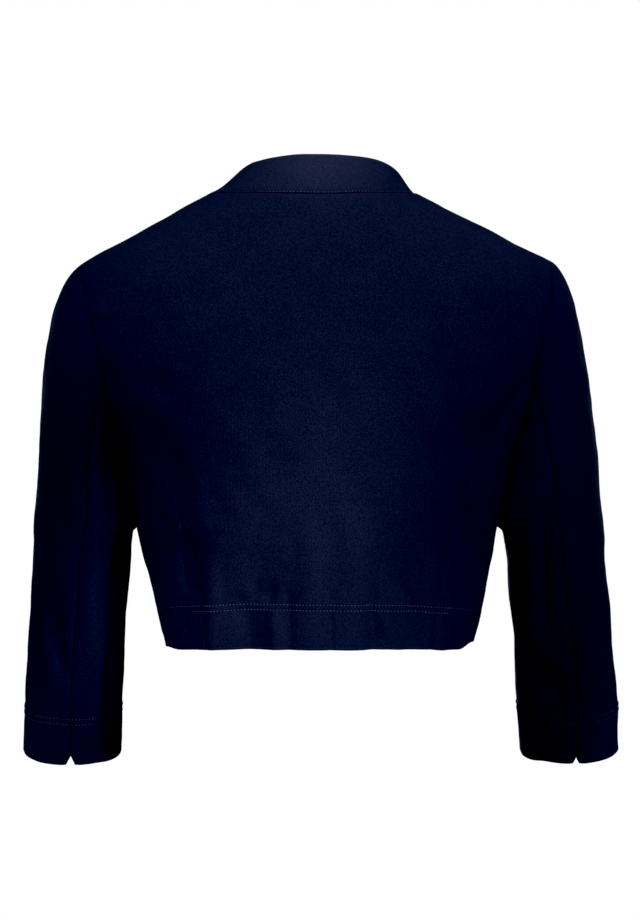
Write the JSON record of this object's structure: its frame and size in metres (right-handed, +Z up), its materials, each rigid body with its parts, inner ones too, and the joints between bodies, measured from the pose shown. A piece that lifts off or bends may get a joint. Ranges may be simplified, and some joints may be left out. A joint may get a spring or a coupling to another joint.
{
  "type": "sweat jacket",
  "caption": "Cropped open-front sweat jacket with a standing neck band, princess-seamed back and two-piece sleeves, hollow as if worn.",
  "frame": {"origin": "On the middle line at the height of the neck seam, where the wearer's shoulders hold the jacket", "axes": "+Z up, +Y to the back of the jacket, +X to the wearer's left"},
  "size_m": [0.507, 0.2261, 0.5128],
  "materials": {
    "sweat_cloth": "matt navy sweat cloth with a fine grain"
  },
  "bodies": {
    "root": {"back": "sweat_cloth", "side_back_left": "sweat_cloth", "side_back_right": "sweat_cloth", "front_left": "sweat_cloth", "front_right": "sweat_cloth", "front_band_left": "sweat_cloth", "front_band_right": "sweat_cloth", "upper_sleeve_left": "sweat_cloth", "upper_sleeve_right": "sweat_cloth", "under_sleeve_left": "sweat_cloth", "under_sleeve_right": "sweat_cloth", "collar": "sweat_cloth"}
  },
  "joints": []
}
